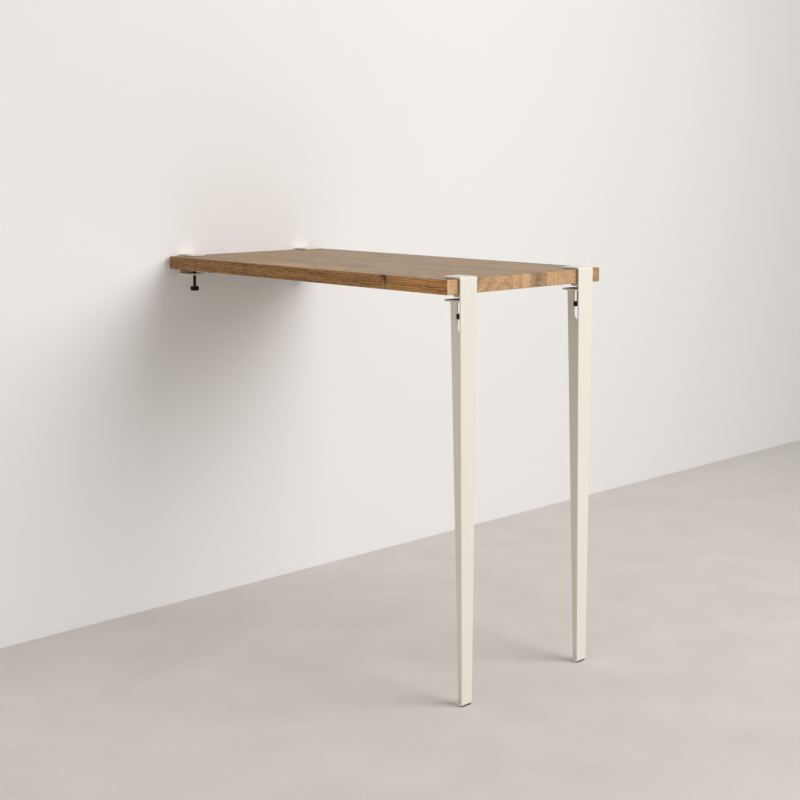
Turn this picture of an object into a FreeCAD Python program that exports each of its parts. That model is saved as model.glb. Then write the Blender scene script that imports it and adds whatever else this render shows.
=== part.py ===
import FreeCAD, Part
import math
import os

# Wall-mounted bar table: a thick wooden board, carried at its free end by two clamp-on steel legs and at its
# other end by two clamp-on wall brackets. Lengths are in millimetres. The origin is on the floor under the middle
# of the table, +Z is up, +X runs along the wall and +Y points to the wall.

# Board
board_length = 1200.0            # free end to wall end
board_width = 600.0
board_thickness = 38.0
table_height = 1100.0            # floor to the top of the board
board_edge_radius = 2.0

# Sheet-steel clamps, alike on the legs and on the wall brackets
sheet = 4.0
bend_inner_radius = 2.0
end_gap = 3.5                    # board's end to the upright sheet
clamp_width = 60.0
clamp_depth = 62.0               # outer face of the upright to the free end of the lip
clamp_corner_radius = 9.0
clamp_edge_inset = 69.0          # long side of the board to the middle of a clamp

# Leg
foot_width = 37.0
foot_depth = 28.5
foot_corner_radius = 14.0
fin_sheet = 4.0
slot_length = 83.0               # clamp plate to the round lower end of the slot in the fin
glide_thickness = 1.2
glide_inset = 0.3                # glide's rim inside the foot plate's rim
glide_front_radius = 5.0
glide_edge_chamfer = 0.3

# Wall bracket
wall_hole_radius = 3.0
wall_hole_spacing = 30.0
countersink_radius = 5.6

# Lip pad
lip_pad_thickness = 1.0
lip_pad_inset = 3.0

# Clamp screw, on one axis with its disc and knob
leg_screw_inset = 25.0           # outer face of the upright to the screw's axis, on a leg
bracket_screw_inset = 41.0       # the same on a wall bracket, where the knob needs room for fingers
screw_radius = 5.0
screw_clearance = 0.05           # screw in its plate, tip in its disc
screw_end_chamfer = 0.6
tip_shoulder = 1.0               # step from the screw down to its tip
leg_knob_drop = 52.0             # underside of the board to the knob's top, on a leg
bracket_knob_drop = 56.4         # the same on a wall bracket

# Knob
knob_radius = 13.2
knob_height = 13.4
knob_floor = 4.0                 # closed lower end, under the screw's end
knob_chamfer = 1.0
knob_rim = 1.8                   # plain rim above and below the grip
knob_rim_step = 0.3              # rim inside the bottoms of the serrations
knob_slot_clearance = 0.8
knob_serrations = 24
serration_depth = 0.7
serration_land_share = 0.55      # land between two grooves, of the pitch

# Pressure disc
disc_strap_clearance = 0.6       # disc's rim to the strap of a leg
disc_thickness = 7.0
disc_web = 4.0                   # floor that the screw's shoulder pushes on
disc_rim_chamfer = 2.0
disc_pad_thickness = 1.5
disc_pad_inset = 0.4
jaw_travel = 7.5
jaw_end_clearance = 0.2          # disc to clamp plate when fully open

# Retaining clip on the screw's tip
clip_thickness = 0.8
clip_width = 3.5                 # groove's floor to the clip's rim
clip_mouth_share = 0.6           # gap of the clip, of the groove's diameter
clip_gap = 0.3                   # clip above the disc's web
clip_side_clearance = 0.6
groove_depth = 1.0
tip_end = 0.5                    # tip above its groove

# One overrun for all cuts, and the distance within which a corner counts as found
overrun = 1.0
corner_tolerance = 0.02

# Levels and places that follow from the sizes above
board_bottom = table_height - board_thickness
lip_bottom = table_height + lip_pad_thickness
lip_top = lip_bottom + sheet
face_reach = board_length / 2 + end_gap + sheet
clamp_spacing = board_width - 2 * clamp_edge_inset
disc_radius = leg_screw_inset - sheet - disc_strap_clearance
disc_top = board_bottom - disc_pad_thickness
disc_bottom = disc_top - disc_thickness
plate_top = disc_bottom - jaw_travel - jaw_end_clearance
plate_bottom = plate_top - sheet
foot_bottom = glide_thickness
foot_top = foot_bottom + sheet
tip_radius = screw_radius - tip_shoulder
groove_radius = tip_radius - groove_depth
groove_bottom = disc_bottom + disc_web + clip_gap
groove_top = groove_bottom + clip_thickness
tip_top = groove_top + tip_end
clip_radius = groove_radius + clip_width
slot_radius = knob_radius + knob_slot_clearance
slot_centre_level = plate_bottom - slot_length + slot_radius

along_x = FreeCAD.Vector(1, 0, 0)
along_y = FreeCAD.Vector(0, 1, 0)
along_z = FreeCAD.Vector(0, 0, 1)
origin = FreeCAD.Vector(0, 0, 0)


# Shapes shared by several pieces. Clamp pieces are drawn with the outer face of the upright on the plane y = 0
# and the board towards +y, centred on x = 0, and turned pieces on the z axis. All go to their places at the end.

def flat_face(points):
    """A flat face bounded by straight lines from point to point."""
    return Part.Face(Part.makePolygon(points + points[:1]))


def side_plate(outline, width):
    """A plate of this width, centred on x = 0, from its side outline of (y, z) corners."""
    points = [FreeCAD.Vector(-width / 2, y, z) for y, z in outline]
    return flat_face(points).extrude(along_x * width)


def turned(outline):
    """A turned piece on the z axis, from half its section as (radius, z) corners."""
    points = [FreeCAD.Vector(radius, 0, z) for radius, z in outline]
    return flat_face(points).revolve(origin, along_z, 360)


def near(value, target):
    return abs(value - target) < corner_tolerance


def bend_edges(strip, y, z):
    """The edges across a strip at one corner of its side outline."""
    return [edge for edge in strip.Edges
            if all(near(v.Y, y) and near(v.Z, z) for v in edge.Vertexes)]


def upright_edges(plate, y, low, high):
    """The short upright edges at the corners of a plate's end at y, between two levels."""
    found = []
    for edge in plate.Edges:
        ends = edge.Vertexes
        at_end = len(ends) == 2 and near(ends[0].Y, y) and near(ends[1].Y, y)
        if at_end and near(min(v.Z for v in ends), low) and near(max(v.Z for v in ends), high):
            found.append(edge)
    return found


def bent_strip(top_depth, bottom, bottom_depth):
    """A strip of sheet bent to a C: a lip on top, an upright and a flange below."""
    outline = [(0, bottom), (bottom_depth, bottom), (bottom_depth, bottom + sheet), (sheet, bottom + sheet),
               (sheet, lip_bottom), (top_depth, lip_bottom), (top_depth, lip_top), (0, lip_top)]
    strip = side_plate(outline, clamp_width)
    inner = bend_edges(strip, sheet, bottom + sheet) + bend_edges(strip, sheet, lip_bottom)
    strip = strip.makeFillet(bend_inner_radius, inner)
    outer = bend_edges(strip, 0, bottom) + bend_edges(strip, 0, lip_top)
    return strip.makeFillet(bend_inner_radius + sheet, outer)


def round_end(plate, radius, width, y, low, high):
    """A plate with the two corners of its end at y rounded, at most to a half circle."""
    return plate.makeFillet(min(radius, width / 2 - corner_tolerance), upright_edges(plate, y, low, high))


def strap_width(level):
    """Width of a leg's strap at a level: it tapers evenly from the lip to the foot."""
    return foot_width + (clamp_width - foot_width) * (level - foot_bottom) / (lip_top - foot_bottom)


# Pieces of the table

def tabletop():
    corner = FreeCAD.Vector(-board_width / 2, -board_length / 2, board_bottom)
    board = Part.makeBox(board_width, board_length, board_thickness, corner)
    return board.makeFillet(board_edge_radius, board.Edges)


def leg_strap():
    """Strip bent over the board's end at the top and under at the foot, cut to its taper in front view."""
    strip = bent_strip(clamp_depth, foot_bottom, foot_depth)
    low = foot_bottom - overrun
    high = lip_top + overrun
    corners = [(-strap_width(low) / 2, low), (strap_width(low) / 2, low),
               (strap_width(high) / 2, high), (-strap_width(high) / 2, high)]
    points = [FreeCAD.Vector(x, -overrun, z) for x, z in corners]
    strap = strip.common(flat_face(points).extrude(along_y * (clamp_depth + 2 * overrun)))
    strap = round_end(strap, clamp_corner_radius, clamp_width, clamp_depth, lip_bottom, lip_top)
    return round_end(strap, foot_corner_radius, foot_width, foot_depth, foot_bottom, foot_top)


def leg_fin():
    """Plate on edge behind the strap, with a slot in which the screw and its knob stand."""
    outline = [(sheet, foot_top + bend_inner_radius), (sheet + bend_inner_radius, foot_top),
               (foot_depth, foot_top), (clamp_depth, plate_bottom), (sheet, plate_bottom)]
    fin = side_plate(outline, fin_sheet)
    left = FreeCAD.Vector(-fin_sheet / 2 - overrun, 0, 0)
    front = left + along_y * (leg_screw_inset - slot_radius)
    back = left + along_y * (leg_screw_inset + slot_radius)
    middle = along_z * slot_centre_level
    lowest = left + along_y * leg_screw_inset + along_z * (slot_centre_level - slot_radius)
    open_end = along_z * (plate_bottom + overrun)
    round_end_edge = Part.Arc(front + middle, lowest, back + middle).toShape()
    sides = Part.makePolygon([back + middle, back + open_end, front + open_end, front + middle])
    slot = Part.Face(Part.Wire([round_end_edge] + sides.Edges))
    return fin.cut(slot.extrude(along_x * (fin_sheet + 2 * overrun)))


def screw_hole(plate, inset):
    """A plate with the screw's hole through it, threads left plain."""
    hole_start = FreeCAD.Vector(0, inset, plate_bottom - overrun)
    hole = Part.makeCylinder(screw_radius + screw_clearance, sheet + 2 * overrun, hole_start)
    return plate.cut(hole)


def leg_clamp_plate():
    width = strap_width(plate_bottom)
    corner = FreeCAD.Vector(-width / 2, sheet, plate_bottom)
    plate = Part.makeBox(width, clamp_depth - sheet, sheet, corner)
    plate = round_end(plate, clamp_corner_radius, width, clamp_depth, plate_bottom, plate_top)
    return screw_hole(plate, leg_screw_inset)


def foot_glide():
    """Thin pad under the foot plate, following its rim, with a chamfered lower edge."""
    width = strap_width(foot_bottom) - 2 * glide_inset
    depth = foot_depth - 2 * glide_inset
    glide = Part.makeBox(width, depth, glide_thickness, FreeCAD.Vector(-width / 2, glide_inset, 0))
    glide = round_end(glide, foot_corner_radius - glide_inset, width, glide_inset + depth, 0, glide_thickness)
    glide = round_end(glide, glide_front_radius, width, glide_inset, 0, glide_thickness)
    sole_edges = [edge for edge in glide.Edges if all(near(v.Z, 0) for v in edge.Vertexes)]
    return glide.makeChamfer(glide_edge_chamfer, sole_edges)


def wall_bracket():
    """Strip bent to a C: lip over the board, web on the wall with two countersunk holes, threaded tab below."""
    strip = bent_strip(clamp_depth, plate_bottom, clamp_depth)
    strip = round_end(strip, clamp_corner_radius, clamp_width, clamp_depth, lip_bottom, lip_top)
    strip = round_end(strip, clamp_corner_radius, clamp_width, clamp_depth, plate_bottom, plate_top)
    middle_level = (plate_top + lip_bottom) / 2
    sink_depth = countersink_radius - wall_hole_radius
    for level in (middle_level - wall_hole_spacing / 2, middle_level + wall_hole_spacing / 2):
        hole_start = FreeCAD.Vector(0, -overrun, level)
        hole = Part.makeCylinder(wall_hole_radius, sheet + 2 * overrun, hole_start, along_y)
        sink_start = FreeCAD.Vector(0, sheet - sink_depth, level)
        sink = Part.makeCone(wall_hole_radius, countersink_radius, sink_depth, sink_start, along_y)
        strip = strip.cut(hole.fuse(sink))
    return screw_hole(strip, bracket_screw_inset)


def lip_pad():
    """Thin sheet between a lip and the board, short of the board's rounded edge."""
    start = sheet + end_gap + lip_pad_inset
    end = clamp_depth - lip_pad_inset
    width = strap_width(lip_bottom) - 2 * lip_pad_inset
    pad = Part.makeBox(width, end - start, lip_pad_thickness, FreeCAD.Vector(-width / 2, start, table_height))
    radius = clamp_corner_radius - lip_pad_inset
    return round_end(pad, radius, width, end, table_height, lip_bottom)


def knob_top(drop):
    return board_bottom - drop


def clamp_screw(drop):
    """Spindle from inside its knob up to a shoulder under the disc, then a tip with a groove for the clip."""
    low = knob_top(drop) - knob_height + knob_floor
    return turned([(0, low), (screw_radius - screw_end_chamfer, low), (screw_radius, low + screw_end_chamfer),
                   (screw_radius, disc_bottom), (tip_radius, disc_bottom), (tip_radius, groove_bottom),
                   (groove_radius, groove_bottom), (groove_radius, groove_top), (tip_radius, groove_top),
                   (tip_radius, tip_top), (0, tip_top)])


def knob(drop):
    """Hand knob moulded round the screw's lower end: a chamfered body with a raised, serrated grip."""
    high = knob_top(drop)
    low = high - knob_height
    pitch = 2 * math.pi / knob_serrations
    land = pitch * serration_land_share
    root_radius = knob_radius - serration_depth
    outline = []
    for k in range(knob_serrations):
        for angle, radius in ((k * pitch - land / 2, knob_radius), (k * pitch + land / 2, knob_radius),
                              (k * pitch + pitch / 2, root_radius)):
            outline.append(FreeCAD.Vector(radius * math.cos(angle), radius * math.sin(angle), low + knob_rim))
    grip = flat_face(outline).extrude(along_z * (knob_height - 2 * knob_rim))
    rim_radius = root_radius - knob_rim_step
    edge_radius = rim_radius - knob_chamfer
    body = turned([(0, low), (edge_radius, low), (rim_radius, low + knob_chamfer),
                   (rim_radius, high - knob_chamfer), (edge_radius, high), (0, high)])
    end = low + knob_floor
    socket = turned([(0, end), (screw_radius - screw_end_chamfer, end), (screw_radius, end + screw_end_chamfer),
                     (screw_radius, high + overrun), (0, high + overrun)])
    return body.fuse(grip).cut(socket)


def pressure_disc():
    """Jaw that swivels on the screw's tip: bored through, with room above its web for the clip."""
    bore = tip_radius + screw_clearance
    recess = clip_radius + clip_side_clearance
    web_top = disc_bottom + disc_web
    return turned([(bore, disc_bottom), (disc_radius - disc_rim_chamfer, disc_bottom),
                   (disc_radius, disc_bottom + disc_rim_chamfer), (disc_radius, disc_top), (recess, disc_top),
                   (recess, web_top), (bore, web_top)])


def disc_pad():
    radius = disc_radius - disc_pad_inset
    return turned([(0, disc_top), (radius, disc_top), (radius, board_bottom), (0, board_bottom)])


def retaining_clip():
    """Flat spring clip pushed sideways into the tip's groove, open on one side."""
    ring = turned([(groove_radius, groove_bottom), (clip_radius, groove_bottom),
                   (clip_radius, groove_top), (groove_radius, groove_top)])
    mouth = 2 * groove_radius * clip_mouth_share
    mouth_corner = FreeCAD.Vector(-mouth / 2, 0, groove_bottom - overrun)
    return ring.cut(Part.makeBox(mouth, clip_radius + overrun, clip_thickness + 2 * overrun, mouth_corner))


# Assembly

def placed(piece, side, at_wall):
    """A clamp piece moved from its drawing place to the free end or to the wall end, left or right."""
    piece = piece.copy()
    piece.translate(along_y * -face_reach)
    if at_wall:
        piece.rotate(origin, along_z, 180)
    piece.translate(along_x * (side * clamp_spacing / 2))
    return piece


def clamp_pieces(inset, drop):
    """What every clamp has, whether on a leg or on a wall bracket."""
    on_axis = {"screw": clamp_screw(drop), "knob": knob(drop), "pressure_disc": pressure_disc(),
               "disc_pad": disc_pad(), "retaining_clip": retaining_clip()}
    for piece in on_axis.values():
        piece.translate(along_y * inset)
    return {"lip_pad": lip_pad(), **on_axis}


leg_pieces = clamp_pieces(leg_screw_inset, leg_knob_drop)
leg_pieces["strap"] = leg_strap()
leg_pieces["fin"] = leg_fin()
leg_pieces["clamp_plate"] = leg_clamp_plate()
leg_pieces["foot_glide"] = foot_glide()
bracket_pieces = clamp_pieces(bracket_screw_inset, bracket_knob_drop)
bracket_pieces["bracket"] = wall_bracket()

nodes = {"tabletop": tabletop()}
for side_name, side in (("left", -1), ("right", 1)):
    for piece_name, piece in leg_pieces.items():
        nodes[f"{side_name}_leg_{piece_name}"] = placed(piece, side, at_wall=False)
    for piece_name, piece in bracket_pieces.items():
        nodes[f"{side_name}_wall_{piece_name}"] = placed(piece, side, at_wall=True)

os.makedirs("parts", exist_ok=True)
for node_name, shape in nodes.items():
    shape.exportStep(f"parts/{node_name}.step")
    print(node_name, len(shape.Solids), shape.isValid(), round(shape.Volume, 2))
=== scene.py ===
import math
import bpy
from mathutils import Matrix, Vector


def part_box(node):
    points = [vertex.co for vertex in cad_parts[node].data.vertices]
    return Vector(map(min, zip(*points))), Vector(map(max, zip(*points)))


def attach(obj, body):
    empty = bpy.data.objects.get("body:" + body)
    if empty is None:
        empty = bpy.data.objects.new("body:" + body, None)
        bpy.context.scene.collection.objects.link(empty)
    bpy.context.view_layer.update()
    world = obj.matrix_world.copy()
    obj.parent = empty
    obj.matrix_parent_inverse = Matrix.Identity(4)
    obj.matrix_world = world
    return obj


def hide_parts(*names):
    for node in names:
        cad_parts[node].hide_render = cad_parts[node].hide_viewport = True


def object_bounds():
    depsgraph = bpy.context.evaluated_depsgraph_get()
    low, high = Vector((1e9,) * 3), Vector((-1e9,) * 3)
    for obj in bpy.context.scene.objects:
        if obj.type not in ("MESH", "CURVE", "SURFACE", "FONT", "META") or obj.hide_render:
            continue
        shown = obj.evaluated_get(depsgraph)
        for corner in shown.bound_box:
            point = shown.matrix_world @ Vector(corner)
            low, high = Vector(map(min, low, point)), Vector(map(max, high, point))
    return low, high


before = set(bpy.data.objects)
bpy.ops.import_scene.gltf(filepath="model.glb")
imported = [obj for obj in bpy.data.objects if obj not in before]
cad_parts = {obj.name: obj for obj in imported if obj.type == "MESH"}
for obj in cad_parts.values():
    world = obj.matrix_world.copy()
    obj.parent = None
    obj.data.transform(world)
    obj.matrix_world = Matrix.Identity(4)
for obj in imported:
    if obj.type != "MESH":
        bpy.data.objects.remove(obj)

cad_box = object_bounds()
bpy.ops.object.select_all(action="DESELECT")

# Board: a bar top of solid brown hardwood, glued edge to edge from staves that run from the free end to the wall,
# planed flush, its edges eased by hand and the whole oiled to a satin finish. Its ends show the growth rings of every
# stave, its long sides the figure along the grain, drawn round a knot that was cut lengthwise.

# Staves from left to right: where each begins, its heart line across and up, its tone, its rings' width and contrast
staves = ((-0.300, (-0.255, 1.290), 0.60, 0.0056, 1.15),
          (-0.205, (-0.062, 0.962), 0.42, 0.0086, 0.85),
          (-0.128, (-0.088, 1.050), 0.46, 0.0066, 0.80),
          (-0.058, (0.105, 1.098), 0.60, 0.0080, 0.50),
          (0.008, (-0.160, 1.086), 0.28, 0.0094, 0.50),
          (0.078, (0.290, 1.070), 0.62, 0.0090, 0.60),
          (0.116, (0.155, 1.059), 0.50, 0.0074, 0.30),
          (0.204, (0.330, 1.150), 0.36, 0.0070, 0.60))
heart_shift = 0.5
ring_scale = 100

# Spots in the wood: the middle of each and how far it reaches, and for streaks how much they change the tone.
# The first streak slowly darkens the left side towards the wall: partly the wood's own tone, partly painted shade away
# from the free end, where the light falls
board_knots = (((-0.301, -0.375, 1.094), (0.010, 0.006, 0.026)), ((-0.301, -0.368, 1.101), (0.012, 0.015, 0.012)),
               ((-0.137, 0.182, 1.102), (0.013, 0.038, 0.010)), ((-0.138, -0.088, 1.102), (0.015, 0.044, 0.010)),
               ((0.168, 0.128, 1.102), (0.014, 0.042, 0.010)), ((-0.207, -0.363, 1.102), (0.009, 0.026, 0.009)),
               ((0.201, -0.293, 1.102), (0.011, 0.032, 0.009)), ((0.301, 0.150, 1.079), (0.010, 0.017, 0.007)),
               ((0.060, 0.100, 1.060), (0.012, 0.034, 0.010)), ((-0.090, -0.260, 1.060), (0.010, 0.028, 0.010)))
knot_swell = 0.0045
swell_rim_share = 0.82
rim_share = 0.37
sapwood_spot = ((-0.284, -0.600, 1.081), (0.034, 0.030, 0.060))
clear_grain = ((-0.302, -0.500, 1.079), (0.010, 0.150, 0.060))
clear_grain_change = 0.74
tone_streaks_and_shade = (((-0.302, 0.450, 1.079), (0.010, 0.300, 0.060), -0.09),
                ((0.045, -0.600, 1.081), (0.013, 0.300, 0.060), -0.26),
                ((-0.026, -0.600, 1.081), (0.007, 0.300, 0.060), -0.24),
                ((-0.006, -0.600, 1.081), (0.010, 0.300, 0.060), 0.14),
                ((0.106, -0.600, 1.081), (0.004, 0.200, 0.060), -0.22))

# Colours of the wood. Its upper face is tinted with a painted greyish sheen, which stands in for the bright wall
# reflected at a grazing angle
spring_wood = (0.395, 0.192, 0.060, 1)
summer_wood = (0.100, 0.042, 0.0105, 1)
knot_wood = (0.050, 0.019, 0.006, 1)
end_grain_light = (0.73, 0.47, 0.258, 1)
end_grain_dark = (0.175, 0.080, 0.031, 1)
sapwood = (0.51, 0.318, 0.173, 1)
top_sheen_tint = (1.03, 1.10, 0.90, 1)

# How the heart lines sway and the rings waver: features per metre across, along and up, and how far they go
heart_sway, heart_sway_reach = (3.0, 1.6, 3.0), 0.085
heart_heave, heart_heave_reach = (22.0, 5.0, 22.0), 0.016
ring_waves, ring_wave_reach = (60.0, 5.0, 60.0), 1.3
ring_ripples, ring_ripple_reach = (120.0, 24.0, 120.0), 1.1
grain_slope = 0.028
years_in_cycle = 4.3
single_year_share, cycle_share = 0.62, 0.38
mean_summer_share = 0.4

# Marks along the grain: features per metre across, along and up, and how much they change the tone
pore_grain, pore_darkness = (900.0, 24.0, 900.0), 0.22
fleck_grain, fleck_depth_on_sides = (430.0, 44.0, 430.0), 2.3
fleck_loss_in_clear_grain, fleck_loss_on_top, fleck_loss_on_ends = 0.6, 0.5, 1.3
fibre_grain, fibre_depth = (1200.0, 30.0, 1200.0), 1.1
streak_grain, streak_depth = (170.0, 7.0, 170.0), 1.45
cloud_grain, cloud_depth = (9.0, 2.6, 9.0), 0.40
stave_contrast, more_stave_contrast_on_ends = 0.55, 0.55
middle_tone, least_tone = 0.5, 0.26

# The oil finish: gloss, dullness in streaks and pores, and the relief of pores and summer wood
oil_gloss = 0.22
oil_roughness, streak_roughness, pore_roughness = 0.28, 0.16, 0.18
summer_relief_share = 0.35


def finish_material(name):
    """A new node material, with its tree and its shader."""
    material = bpy.data.materials.new(name)
    material.use_nodes = True
    return material, material.node_tree, material.node_tree.nodes["Principled BSDF"]


def add_node(tree, kind, **settings):
    """A node with its settings. Names with a capital first letter are its sockets."""
    node = tree.nodes.new("ShaderNode" + kind)
    for name, value in settings.items():
        if name[0].isupper():
            node.inputs[name].default_value = value
        else:
            setattr(node, name, value)
    return node


def fill_socket(tree, socket, term):
    """Links a socket to another one, or gives it a value of its own."""
    if isinstance(term, bpy.types.NodeSocket):
        tree.links.new(term, socket)
    else:
        socket.default_value = term


def calculate(tree, operation, *terms):
    """A sum, product or other calculation on sockets and numbers."""
    node = add_node(tree, "Math", operation=operation)
    for socket, term in zip(node.inputs, terms):
        fill_socket(tree, socket, term)
    return node.outputs[0]


def shift_place(tree, operation, place, by):
    """A place in space, moved or stretched by a vector."""
    node = add_node(tree, "VectorMath", operation=operation)
    tree.links.new(place, node.inputs[0])
    node.inputs[1].default_value = by
    return node.outputs[0]


def grain_noise(tree, per_metre, detail=3.0, roughness=0.5):
    """Noise on the piece's own coordinates with so many features per metre along x, y and z."""
    noise = add_node(tree, "TexNoise", Scale=1.0, Detail=detail, Roughness=roughness)
    place = add_node(tree, "TexCoord").outputs["Object"]
    tree.links.new(shift_place(tree, "MULTIPLY", place, per_metre), noise.inputs["Vector"])
    return noise.outputs["Fac"]


def swing(tree, noise, amount, around=0.0):
    """Noise as a swing of this amount about a value."""
    return calculate(tree, "MULTIPLY_ADD", calculate(tree, "SUBTRACT", noise, 0.5), amount, around)


def ramp(tree, source, stops, interpolation="LINEAR"):
    """A colour ramp on a socket, from (place, colour) stops."""
    node = add_node(tree, "ValToRGB")
    node.color_ramp.interpolation = interpolation
    while len(node.color_ramp.elements) < len(stops):
        node.color_ramp.elements.new(1.0)
    for element, (place, colour) in zip(node.color_ramp.elements, stops):
        element.position = place
        element.color = colour
    tree.links.new(source, node.inputs["Fac"])
    return node


def grey_ramp(tree, source, *stops):
    """A ramp of plain numbers on a socket, from (place, number) stops."""
    return ramp(tree, source, [(place, (number, number, number, 1)) for place, number in stops]).outputs["Color"]


def mix_colours(tree, factor, first, second, blend="MIX"):
    """Two colours, as sockets or values, mixed by a factor."""
    node = add_node(tree, "Mix", data_type="RGBA", blend_type=blend)
    for socket, term in ((node.inputs[0], factor), (node.inputs[6], first), (node.inputs[7], second)):
        fill_socket(tree, socket, term)
    return node.outputs[2]


def square_distance(tree, place, middle, reach):
    """How far a place is from the middle of a spot, squared and in units of the spot's reach."""
    offset = shift_place(tree, "DIVIDE", shift_place(tree, "SUBTRACT", place, middle), reach)
    square = add_node(tree, "VectorMath", operation="DOT_PRODUCT")
    tree.links.new(offset, square.inputs[0])
    tree.links.new(offset, square.inputs[1])
    return square.outputs["Value"]


def spot_share(tree, place, middle, reach):
    """1 in the middle of a spot, little at its reach and nothing far away."""
    return calculate(tree, "POWER", rim_share, square_distance(tree, place, middle, reach))


def add_bump(tree, shader, height, strength, depth):
    """Relief on the shader from a height socket, of this depth in metres."""
    bump = add_node(tree, "Bump", Strength=strength, Distance=depth)
    tree.links.new(height, bump.inputs["Height"])
    tree.links.new(bump.outputs["Normal"], shader.inputs["Normal"])


def give_finish(material, *node_names):
    """Puts a finish on the slots of CAD nodes."""
    for node_name in node_names:
        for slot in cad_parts[node_name].material_slots:
            slot.material = material


oiled_wood, wood_tree, wood_shader = finish_material("oiled_wood")
wood_place = add_node(wood_tree, "TexCoord")
board_position = wood_place.outputs["Object"]
position_parts = add_node(wood_tree, "SeparateXYZ")
wood_tree.links.new(board_position, position_parts.inputs[0])
across, along, upward = position_parts.outputs
facing = add_node(wood_tree, "SeparateXYZ")
wood_tree.links.new(wood_place.outputs["Normal"], facing.inputs[0])
on_end = calculate(wood_tree, "MULTIPLY", facing.outputs[1], facing.outputs[1])
on_top = calculate(wood_tree, "MAXIMUM", facing.outputs[2], 0.0)

# The stave that a point lies in gives the heart line of its rings, its tone, and the rings' width and contrast
board_width = cad_box[1].x - cad_box[0].x
stave_place = calculate(wood_tree, "MULTIPLY_ADD", across, 1 / board_width, 0.5)
stave_stops = []
contrast_stops = []
for stave_edge, (stave_across, stave_up), tone, width, contrast in staves:
    stop = stave_edge / board_width + 0.5
    stave_stops.append((stop, (stave_across + heart_shift, stave_up - heart_shift, tone, width * ring_scale)))
    contrast_stops.append((stop, (contrast, contrast, contrast, 1)))
stave_ramp = ramp(wood_tree, stave_place, stave_stops, "CONSTANT")
stave_values = add_node(wood_tree, "SeparateColor")
wood_tree.links.new(stave_ramp.outputs["Color"], stave_values.inputs[0])
heart_across = calculate(wood_tree, "SUBTRACT", stave_values.outputs[0], heart_shift)
heart_up = calculate(wood_tree, "ADD", stave_values.outputs[1], heart_shift)
stave_tone = stave_values.outputs[2]
ring_width = calculate(wood_tree, "MULTIPLY", stave_ramp.outputs["Alpha"], 1 / ring_scale)
ring_contrast = ramp(wood_tree, stave_place, contrast_stops, "CONSTANT").outputs["Color"]

# Distance from the heart line, which wanders along the board and leaves it at a slight slope
from_heart = calculate(wood_tree, "SUBTRACT", across, heart_across)
from_heart = swing(wood_tree, grain_noise(wood_tree, heart_sway, detail=2.0), heart_sway_reach, from_heart)
above_heart = calculate(wood_tree, "SUBTRACT", upward, heart_up)
above_heart = swing(wood_tree, grain_noise(wood_tree, heart_heave), heart_heave_reach, above_heart)
ring_radius = calculate(wood_tree, "POWER", calculate(
    wood_tree, "ADD", calculate(wood_tree, "MULTIPLY", from_heart, from_heart),
    calculate(wood_tree, "MULTIPLY", above_heart, above_heart)), 0.5)
ring_radius = calculate(wood_tree, "MULTIPLY_ADD", along, grain_slope, ring_radius)

# Knots: the rings swell round them, and their middle is dark
knot_darkness = 0.0
for knot_middle, knot_reach in board_knots:
    far = square_distance(wood_tree, board_position, knot_middle, knot_reach)
    swollen = calculate(wood_tree, "POWER", swell_rim_share, far)
    ring_radius = calculate(wood_tree, "MULTIPLY_ADD", swollen, knot_swell, ring_radius)
    knot_darkness = calculate(wood_tree, "MAXIMUM", calculate(wood_tree, "POWER", rim_share, far), knot_darkness)

# Growth rings: a slow rise from pale spring wood to dark summer wood, then a sudden return. They ripple along the
# grain, and good years come in cycles
ring_count = calculate(wood_tree, "DIVIDE", ring_radius, ring_width)
ring_count = swing(wood_tree, grain_noise(wood_tree, ring_waves, detail=2.0), ring_wave_reach, ring_count)
ripple_reach = calculate(wood_tree, "MULTIPLY_ADD", on_end, -ring_ripple_reach, ring_ripple_reach)
ring_count = swing(wood_tree, grain_noise(wood_tree, ring_ripples, detail=2.0), ripple_reach, ring_count)
summer_share = grey_ramp(wood_tree, calculate(wood_tree, "FRACT", ring_count),
                         (0.0, 0.02), (0.40, 0.16), (0.84, 1.0), (1.0, 0.02))
year_cycle = calculate(wood_tree, "FRACT", calculate(wood_tree, "DIVIDE", ring_count, years_in_cycle))
good_years = grey_ramp(wood_tree, year_cycle, (0.0, 0.15), (0.5, 0.85), (1.0, 0.15))
summer_share = calculate(wood_tree, "MULTIPLY_ADD", summer_share, single_year_share,
                         calculate(wood_tree, "MULTIPLY", good_years, cycle_share))
summer_share = calculate(wood_tree, "MULTIPLY_ADD", calculate(wood_tree, "SUBTRACT", summer_share, mean_summer_share),
                         ring_contrast, mean_summer_share)

# Colour along the grain and on the ends
long_grain = mix_colours(wood_tree, summer_share, spring_wood, summer_wood)
# Painted sheen: on the upper face the grain is tinted paler and greyer, as the wall's reflection would make it
sheened_grain = mix_colours(wood_tree, 1.0, long_grain, top_sheen_tint, "MULTIPLY")
long_grain = mix_colours(wood_tree, on_top, long_grain, sheened_grain)
end_grain = mix_colours(wood_tree, summer_share, end_grain_light, end_grain_dark)
end_grain = mix_colours(wood_tree, spot_share(wood_tree, board_position, *sapwood_spot), end_grain, sapwood)
wood_colour = mix_colours(wood_tree, on_end, long_grain, end_grain)

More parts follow.
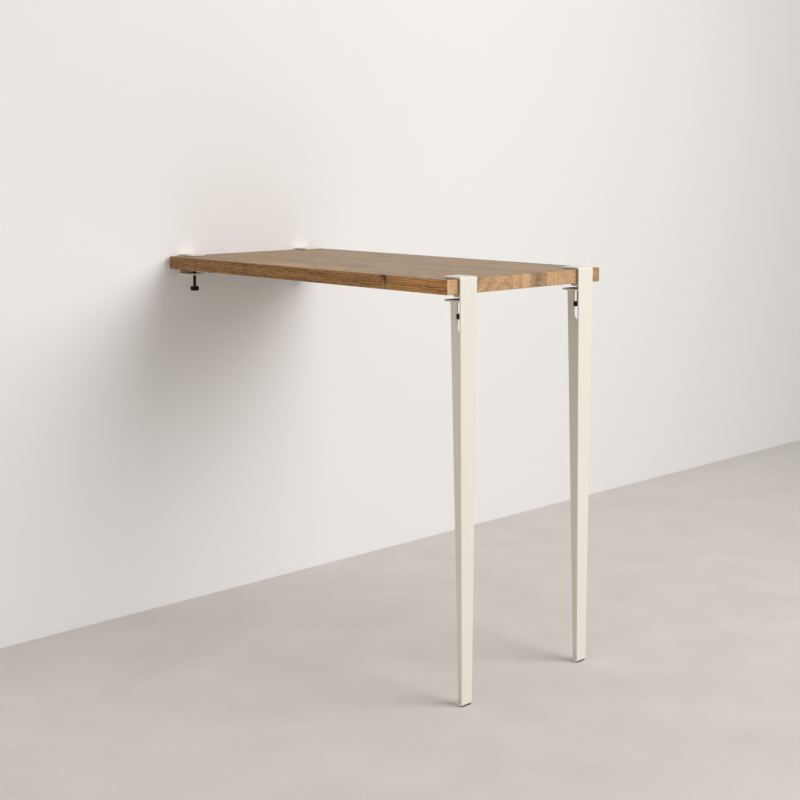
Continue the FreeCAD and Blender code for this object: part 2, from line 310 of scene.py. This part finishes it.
# Tone: of the stave, of single streaks and a band of painted shade, and of pores, flecks and fibres, which are short
# along the grain and dots on the ends
pores = grey_ramp(wood_tree, grain_noise(wood_tree, pore_grain, detail=2.0), (0.56, 0.0), (0.70, 1.0))
flecks = grain_noise(wood_tree, fleck_grain, detail=2.0, roughness=0.6)
fibres = grain_noise(wood_tree, fibre_grain, detail=2.0, roughness=0.6)
streaks = grain_noise(wood_tree, streak_grain, detail=4.0, roughness=0.6)
cloud = grain_noise(wood_tree, cloud_grain)
stave_change = calculate(wood_tree, "MULTIPLY", calculate(wood_tree, "SUBTRACT", stave_tone, middle_tone), calculate(
    wood_tree, "MULTIPLY_ADD", on_end, more_stave_contrast_on_ends, stave_contrast))
tone_change = calculate(wood_tree, "ADD", stave_change, 1.0)
clearness = spot_share(wood_tree, board_position, *clear_grain)
tone_change = calculate(wood_tree, "MULTIPLY_ADD", clearness, clear_grain_change, tone_change)
# The first band is partly painted shade: it darkens the left side towards the wall
for band_middle, band_reach, band_change in tone_streaks_and_shade:
    closeness = spot_share(wood_tree, board_position, band_middle, band_reach)
    tone_change = calculate(wood_tree, "MULTIPLY_ADD", closeness, band_change, tone_change)
tone_change = swing(wood_tree, cloud, cloud_depth, tone_change)
tone_change = swing(wood_tree, streaks, streak_depth, tone_change)
fleck_depth = fleck_depth_on_sides
for place_share, fleck_loss in ((clearness, fleck_loss_in_clear_grain), (on_top, fleck_loss_on_top),
                                (on_end, fleck_loss_on_ends)):
    fleck_depth = calculate(wood_tree, "MULTIPLY_ADD", place_share, -fleck_loss, fleck_depth)
tone_change = swing(wood_tree, flecks, fleck_depth, tone_change)
tone_change = swing(wood_tree, fibres, fibre_depth, tone_change)
tone_change = calculate(wood_tree, "MULTIPLY_ADD", pores, -pore_darkness, tone_change)
tone_change = calculate(wood_tree, "MAXIMUM", tone_change, least_tone)
wood_colour = mix_colours(wood_tree, 1.0, wood_colour, tone_change, "MULTIPLY")
knot_share = grey_ramp(wood_tree, knot_darkness, (0.12, 0.0), (0.85, 0.85))
wood_colour = mix_colours(wood_tree, knot_share, wood_colour, knot_wood)
wood_tree.links.new(wood_colour, wood_shader.inputs["Base Color"])

wood_shader.inputs["Specular IOR Level"].default_value = oil_gloss
wood_roughness = calculate(wood_tree, "MULTIPLY_ADD", pores, pore_roughness, calculate(
    wood_tree, "MULTIPLY_ADD", streaks, streak_roughness, oil_roughness))
wood_tree.links.new(wood_roughness, wood_shader.inputs["Roughness"])
wood_relief = calculate(wood_tree, "MULTIPLY_ADD", pores, -1.0, calculate(
    wood_tree, "MULTIPLY", summer_share, summer_relief_share))
add_bump(wood_tree, wood_shader, wood_relief, strength=0.35, depth=0.00015)
give_finish(oiled_wood, "tabletop")

# Legs and wall brackets: laser-cut steel sheet, folded over the board and at the foot, with a fin and a clamp plate
# welded behind each strap. All of it is powder-coated in a warm cream with a fine orange-peel surface.
sides = ("left", "right")
cream_paint = (0.80, 0.775, 0.702, 1)
cream_paint_thin = (0.75, 0.722, 0.642, 1)
coat_gloss = 0.32
orange_peel_grain = (850.0, 850.0, 850.0)
coat_cloud_grain = (14.0, 14.0, 5.0)
coat_speck_grain = (2600.0, 2600.0, 2600.0)
thin_in_specks, thin_in_clouds = 0.25, 0.45


def set_roughness(tree, shader, noise, least, rise):
    """Roughness of a finish, which rises with a noise."""
    tree.links.new(calculate(tree, "MULTIPLY_ADD", noise, rise, least), shader.inputs["Roughness"])


cream_coat, coat_tree, coat_shader = finish_material("cream_powder_coat")
coat_cloud = grain_noise(coat_tree, coat_cloud_grain, detail=4.0, roughness=0.6)
coat_speck = grey_ramp(coat_tree, grain_noise(coat_tree, coat_speck_grain, detail=1.0), (0.68, 0.0), (0.76, 1.0))
thin_share = calculate(coat_tree, "MULTIPLY_ADD", coat_speck, thin_in_specks,
                       calculate(coat_tree, "MULTIPLY", coat_cloud, thin_in_clouds))
coat_tree.links.new(mix_colours(coat_tree, thin_share, cream_paint, cream_paint_thin), coat_shader.inputs["Base Color"])
set_roughness(coat_tree, coat_shader, coat_cloud, least=0.56, rise=0.14)
coat_shader.inputs["Specular IOR Level"].default_value = coat_gloss
orange_peel = grain_noise(coat_tree, orange_peel_grain, detail=2.0)
add_bump(coat_tree, coat_shader, orange_peel, strength=0.22, depth=0.00012)
for side in sides:
    give_finish(cream_coat, f"{side}_leg_strap", f"{side}_leg_fin", f"{side}_leg_clamp_plate", f"{side}_wall_bracket")

# Welds: short rippled beads laid in the corners between fin, strap and clamp plate, a stitch at a time from both
# sides so that the thin sheet stays straight, and coated with the rest.
bead_radius = 0.0022
bead_length = 0.028
bead_facets = 12
bead_ripples = 13
ripple_waist_share = 0.86
bead_end_share = 0.62
bead_sink = 0.0007
stitch_levels = (0.045, 0.195, 0.345, 0.495, 0.645, 0.795, 0.925)
plate_stitch_share = 0.8
plate_stitch_offset_share = 0.56


def select_parts(piece, kind, wanted):
    """Selects the vertices, edges or faces of a mesh that are wanted, and leaves edit mode on."""
    bpy.ops.object.mode_set(mode="EDIT")
    bpy.ops.mesh.select_mode(type={"vertices": "VERT", "edges": "EDGE", "polygons": "FACE"}[kind])
    bpy.ops.mesh.select_all(action="DESELECT")
    bpy.ops.object.mode_set(mode="OBJECT")
    for part in getattr(piece.data, kind):
        part.select = wanted(part)
    bpy.ops.object.mode_set(mode="EDIT")


def set_down(piece, name, places):
    """Copies of a piece, each with its own mesh, laid at their places and joined to one piece of that name."""
    bpy.ops.object.select_all(action="DESELECT")
    for place in places:
        copy = piece.copy()
        copy.data = piece.data.copy()
        copy.data.transform(place)
        bpy.context.scene.collection.objects.link(copy)
        copy.select_set(True)
    bpy.context.view_layer.objects.active = copy
    if len(places) > 1:
        bpy.ops.object.join()
    copy.name = name
    copy.data.name = name
    copy.select_set(False)
    return copy


bpy.ops.mesh.primitive_cylinder_add(vertices=bead_facets, radius=bead_radius, depth=bead_length)
bead = bpy.context.object
bead_points = bead.data.vertices


def runs_lengthwise(edge):
    """Whether an edge of the bead runs from one end to the other."""
    first, second = (bead_points[number].co.z for number in edge.vertices)
    return abs(first - second) > bead_length / 2


select_parts(bead, "edges", runs_lengthwise)
bpy.ops.mesh.subdivide(number_cuts=bead_ripples)
ripple = bead_length / (bead_ripples + 1)
select_parts(bead, "vertices", lambda point: round(point.co.z / ripple) % 2 == 0)
bpy.ops.transform.resize(value=(ripple_waist_share, ripple_waist_share, 1))
select_parts(bead, "vertices", lambda point: abs(point.co.z) > bead_length / 2 - ripple / 2)
bpy.ops.transform.resize(value=(bead_end_share, bead_end_share, 1))
bpy.ops.object.mode_set(mode="OBJECT")
bpy.ops.object.shade_smooth()
bead.data.materials.append(cream_coat)
for side in sides:
    fin_low, fin_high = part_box(f"{side}_leg_fin")
    plate_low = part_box(f"{side}_leg_clamp_plate")[0]
    fin_middle = (fin_low.x + fin_high.x) / 2
    stitches = []
    for level in stitch_levels:
        for edge in (fin_low.x - bead_sink, fin_high.x + bead_sink):
            stitches.append(Matrix.Translation((edge, fin_low.y + bead_sink, level)))
    for offset in (-plate_stitch_offset_share, plate_stitch_offset_share):
        place = Vector((fin_middle + offset * bead_length, fin_low.y + bead_sink, plate_low.z - bead_sink))
        stitches.append(Matrix.Translation(place) @ Matrix.Rotation(math.pi / 2, 4, "Y")
                        @ Matrix.Diagonal((1, 1, plate_stitch_share, 1)))
    welds = set_down(bead, f"{side}_leg_welds", stitches)
    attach(welds, "table")
bpy.data.objects.remove(bead)

# Foot glides: thin pads of dark plastic, cut to the outline of the folded feet and glued under them, so that the
# steel doesn't scratch the floor. They are a little scuffed.
glide_dark = (0.030, 0.027, 0.023, 1)
glide_worn = (0.075, 0.068, 0.058, 1)
glide_scuffs = (300.0, 300.0, 120.0)


def set_colours(tree, shader, noise, *stops):
    """Colour of a finish, which follows a noise from stop to stop."""
    tree.links.new(ramp(tree, noise, stops).outputs["Color"], shader.inputs["Base Color"])


glide_plastic, glide_tree, glide_shader = finish_material("dark_glide_plastic")
scuffs = grain_noise(glide_tree, glide_scuffs, detail=4.0, roughness=0.65)
set_colours(glide_tree, glide_shader, scuffs, (0.3, glide_dark), (0.75, glide_worn))
set_roughness(glide_tree, glide_shader, scuffs, least=0.45, rise=0.3)
add_bump(glide_tree, glide_shader, scuffs, strength=0.3, depth=0.0001)
for side in sides:
    give_finish(glide_plastic, f"{side}_leg_foot_glide")

# Pads: thin grey rubber, cut from sheet and glued under each lip and on each pressure disc, so that the steel grips
# the wood and doesn't mark it.
clamps = ("left_leg", "right_leg", "left_wall", "right_wall")
rubber_dark = (0.11, 0.105, 0.10, 1)
rubber_light = (0.20, 0.195, 0.185, 1)
rubber_grain = (900.0, 900.0, 900.0)
pad_rubber, rubber_tree, rubber_shader = finish_material("grey_pad_rubber")
rubber_noise = grain_noise(rubber_tree, rubber_grain, roughness=0.7)
set_colours(rubber_tree, rubber_shader, rubber_noise, (0.3, rubber_dark), (0.7, rubber_light))
set_roughness(rubber_tree, rubber_shader, rubber_noise, least=0.68, rise=0.2)
add_bump(rubber_tree, rubber_shader, rubber_noise, strength=0.3, depth=0.0001)
for clamp in clamps:
    give_finish(pad_rubber, f"{clamp}_lip_pad", f"{clamp}_disc_pad")

# Pressure discs: turned steel jaws in the same cream coat as the clamps. They swivel on the screws' tips, so they
# stand still on the board while the screws turn.
for clamp in clamps:
    give_finish(cream_coat, f"{clamp}_pressure_disc")

# Retaining clips: stamped from bright spring steel and pushed into the groove of each screw's tip inside the disc,
# which they keep on the screw.
clip_dark = (0.36, 0.36, 0.37, 1)
clip_light = (0.60, 0.60, 0.61, 1)
clip_brush_marks = (200.0, 2500.0, 200.0)
clip_steel, clip_tree, clip_shader = finish_material("bright_clip_steel")
clip_shader.inputs["Metallic"].default_value = 1.0
clip_noise = grain_noise(clip_tree, clip_brush_marks, roughness=0.6)
set_colours(clip_tree, clip_shader, clip_noise, (0.2, clip_dark), (0.8, clip_light))
set_roughness(clip_tree, clip_shader, clip_noise, least=0.22, rise=0.25)
for clamp in clamps:
    give_finish(clip_steel, f"{clamp}_retaining_clip")

# Knobs: serrated hand knobs of matt black plastic, moulded round the lower ends of the screws. Those of the legs turn
# in the slots of the fins.
knob_dark = (0.0042, 0.0034, 0.0028, 1)
knob_light = (0.011, 0.009, 0.0075, 1)
knob_gloss = 0.28
knob_grain = (700.0, 700.0, 700.0)
knob_plastic, knob_tree, knob_shader = finish_material("black_knob_plastic")
knob_noise = grain_noise(knob_tree, knob_grain, roughness=0.6)
set_colours(knob_tree, knob_shader, knob_noise, (0.3, knob_dark), (0.8, knob_light))
set_roughness(knob_tree, knob_shader, knob_noise, least=0.46, rise=0.2)
knob_shader.inputs["Specular IOR Level"].default_value = knob_gloss
add_bump(knob_tree, knob_shader, knob_noise, strength=0.25, depth=0.0001)
for clamp in clamps:
    give_finish(knob_plastic, f"{clamp}_knob")

# Clamp screws: rolled steel spindles with a right-hand thread of 1.5 mm, blackened and oiled. Above the thread comes
# a plain neck whose shoulder pushes the disc, then the tip with the groove that the clip sits in.
thread_pitch = 0.0015
thread_root = 0.0041
thread_steps = ((0.0, 0.00019), (0.00085, 0.00049), (0.0, 0.00014), (-0.00085, 0.00049), (0.0, 0.00019))
thread_facets = 24
turns_beyond_ends = 2
neck_length = 0.002
neck_radius = 0.0049
neck_facets = 32
tip_radius = 0.0040
tip_edge_break = 0.0003
groove_radius = 0.0030
weld_distance = 0.00001
cut_tolerance = 0.000001
smooth_angle = math.radians(25)
screw_black = (0.005, 0.0042, 0.0036, 1)
screw_worn = (0.024, 0.021, 0.019, 1)
screw_wear_grain = (500.0, 500.0, 900.0)
screw_metal_share = 0.5

black_steel, screw_tree, screw_shader = finish_material("blackened_screw_steel")
screw_shader.inputs["Metallic"].default_value = screw_metal_share
screw_wear = grain_noise(screw_tree, screw_wear_grain, detail=4.0, roughness=0.65)
set_colours(screw_tree, screw_shader, screw_wear, (0.35, screw_black), (0.8, screw_worn))
set_roughness(screw_tree, screw_shader, screw_wear, least=0.32, rise=0.3)


def draw_out(rise, scale=1.0):
    """Extrudes the selected end of a turned piece upwards, then changes its width."""
    bpy.ops.mesh.extrude_region_move(TRANSFORM_OT_translate={"value": (0, 0, rise)})
    bpy.ops.transform.resize(value=(scale, scale, 1))


for kind in ("leg", "wall"):
    screw_low, screw_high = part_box(f"left_{kind}_screw")
    clip_low, clip_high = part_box(f"left_{kind}_retaining_clip")
    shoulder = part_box(f"left_{kind}_pressure_disc")[0].z
    thread_top = shoulder - neck_length
    turns = math.ceil((thread_top - screw_low.z) / thread_pitch) + turns_beyond_ends

    # One tooth of the thread, drawn from a single point and wound upwards, then cut flat at both ends
    bpy.ops.mesh.primitive_plane_add(size=thread_pitch)
    spindle = bpy.context.object
    bpy.ops.object.mode_set(mode="EDIT")
    bpy.ops.mesh.select_mode(type="VERT")
    bpy.ops.mesh.merge(type="CENTER")
    bpy.ops.transform.translate(value=(thread_root, 0, screw_low.z - thread_pitch))
    for outward, rise in thread_steps:
        bpy.ops.mesh.extrude_vertices_move(TRANSFORM_OT_translate={"value": (outward, 0, rise)})
    bpy.ops.object.mode_set(mode="OBJECT")
    winding = spindle.modifiers.new("winding", "SCREW")
    winding.axis = "Z"
    winding.angle = 2 * math.pi
    winding.screw_offset = thread_pitch
    winding.iterations = turns
    winding.steps = winding.render_steps = thread_facets
    bpy.ops.object.modifier_apply(modifier="winding")
    bpy.ops.object.mode_set(mode="EDIT")
    bpy.ops.mesh.select_all(action="SELECT")
    bpy.ops.mesh.remove_doubles(threshold=weld_distance)
    for level, outward in ((thread_top, 1), (screw_low.z, -1)):
        bpy.ops.mesh.select_all(action="SELECT")
        bpy.ops.mesh.bisect(plane_co=(0, 0, level), plane_no=(0, 0, outward), use_fill=True, clear_outer=True,
                            threshold=cut_tolerance)
    bpy.ops.mesh.select_all(action="SELECT")
    bpy.ops.mesh.normals_make_consistent(inside=False)
    bpy.ops.object.mode_set(mode="OBJECT")

    # Neck and tip, turned from one bar
    bpy.ops.mesh.primitive_cylinder_add(vertices=neck_facets, radius=neck_radius, depth=neck_length,
                                        location=(0, 0, shoulder - neck_length / 2))
    tip = bpy.context.object
    bpy.ops.object.transform_apply(location=True)
    select_parts(tip, "polygons", lambda face: face.normal.z > 0.9)
    draw_out(0.0, tip_radius / neck_radius)
    draw_out(clip_low.z - shoulder)
    draw_out(0.0, groove_radius / tip_radius)
    draw_out(clip_high.z - clip_low.z)
    draw_out(0.0, tip_radius / groove_radius)
    draw_out(screw_high.z - clip_high.z)
    bpy.ops.mesh.bevel(offset=tip_edge_break, segments=2)
    bpy.ops.object.mode_set(mode="OBJECT")
    spindle.select_set(True)
    bpy.context.view_layer.objects.active = spindle
    bpy.ops.object.join()
    bpy.ops.object.shade_smooth_by_angle(angle=smooth_angle)
    spindle.data.materials.append(black_steel)
    for side in sides:
        low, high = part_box(f"{side}_{kind}_screw")
        axis = Matrix.Translation(((low.x + high.x) / 2, (low.y + high.y) / 2, 0))
        threaded_screw = set_down(spindle, f"{side}_{kind}_threaded_screw", [axis])
        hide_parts(f"{side}_{kind}_screw")
        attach(threaded_screw, f"{side}_{kind}_spindle")
    bpy.data.objects.remove(spindle)

# Stage: a pale mottled floor and a plain wall, both seen only from their front, with a broad soft lamp high in front
# of the table's free end, a little to the right, and a weaker one low on the left.
stage_size = 24
wall_gap = 0.001
light_reach = 0.004
floor_dark = (0.635, 0.605, 0.57, 1)
floor_light = (0.70, 0.67, 0.635, 1)
floor_mottle = (4.0, 4.0, 4.0)
floor_roughness = 0.75
wall_colour = (0.86, 0.854, 0.849, 1)
wall_roughness = 0.9
room_colour = (1.0, 0.98, 0.95, 1)
room_light = 0.46

# Lamps: name, place, what each is aimed at, width, power, angle of spread in degrees and colour
stage_lamps = (("soft_window", (1.9, -4.4, 3.7), (-0.6, 0.4, 0.8), 4.4, 106, 120, (1.0, 0.992, 0.985)),
               ("low_window", (-4.2, -1.4, 1.2), (0, 0, 0.8), 2.4, 11, 180, (1.0, 0.93, 0.78)))


def show_front_only(tree, shader):
    """Makes a stage surface see-through from behind, and for light that reaches it from a piece right against it."""
    path = add_node(tree, "LightPath")
    close_by = calculate(tree, "LESS_THAN", path.outputs["Ray Length"], light_reach)
    behind = calculate(tree, "MAXIMUM", add_node(tree, "NewGeometry").outputs["Backfacing"], close_by)
    halves = add_node(tree, "MixShader")
    tree.links.new(behind, halves.inputs[0])
    tree.links.new(shader.outputs[0], halves.inputs[1])
    tree.links.new(add_node(tree, "BsdfTransparent").outputs[0], halves.inputs[2])
    tree.links.new(halves.outputs[0], tree.nodes["Material Output"].inputs["Surface"])


floor_paint, floor_tree, floor_shader = finish_material("pale_floor")
floor_cloud = grain_noise(floor_tree, floor_mottle, detail=6.0, roughness=0.62)
set_colours(floor_tree, floor_shader, floor_cloud, (0.3, floor_dark), (0.7, floor_light))
floor_shader.inputs["Roughness"].default_value = floor_roughness
show_front_only(floor_tree, floor_shader)
bpy.ops.mesh.primitive_plane_add(size=stage_size, location=(0, 0, 0))
floor = bpy.context.object
floor.name = "stage_floor"
floor.data.materials.append(floor_paint)

wall_paint, wall_tree, wall_shader = finish_material("pale_wall")
wall_shader.inputs["Base Color"].default_value = wall_colour
wall_shader.inputs["Roughness"].default_value = wall_roughness
show_front_only(wall_tree, wall_shader)
bpy.ops.mesh.primitive_plane_add(size=stage_size, location=(0, cad_box[1].y + wall_gap, 0),
                                 rotation=(math.pi / 2, 0, 0))
wall = bpy.context.object
wall.name = "stage_wall"
wall.data.materials.append(wall_paint)

world = bpy.data.worlds.new("soft_room")
world.use_nodes = True
world.node_tree.nodes["Background"].inputs["Color"].default_value = room_colour
world.node_tree.nodes["Background"].inputs["Strength"].default_value = room_light
bpy.context.scene.world = world
for lamp_name, lamp_place, lamp_aim, lamp_width, lamp_power, lamp_spread, lamp_colour in stage_lamps:
    bpy.ops.object.light_add(type="AREA", location=lamp_place)
    lamp = bpy.context.object
    lamp.name = lamp_name
    lamp.data.shape = "DISK"
    lamp.data.size = lamp_width
    lamp.data.energy = lamp_power
    lamp.data.spread = math.radians(lamp_spread)
    lamp.data.color = lamp_colour
    lamp.rotation_mode = "QUATERNION"
    lamp.rotation_quaternion = (Vector(lamp_aim) - lamp.location).to_track_quat("-Z", "Y")

# Camera: where the photograph was taken from, a little above the board and to the left of its free end, looking
# slightly down. The lens is shifted, so the middle of the picture lies below its axis.
camera_place = (-2.7453, -2.9964, 1.3915)
camera_dip = 5.2708
camera_turn = -43.6263
picture_width = 800
focal_length_in_pixels = 1393.0
lens_axis_row = 290
sensor_width = 36
bpy.ops.object.camera_add(location=camera_place,
                          rotation=(math.radians(90 - camera_dip), 0, math.radians(camera_turn)))
camera = bpy.context.object
camera.data.sensor_width = sensor_width
camera.data.lens = sensor_width * focal_length_in_pixels / picture_width
camera.data.shift_y = (lens_axis_row - picture_width / 2) / picture_width
bpy.context.scene.camera = camera
bpy.context.scene.view_settings.view_transform = "Standard"
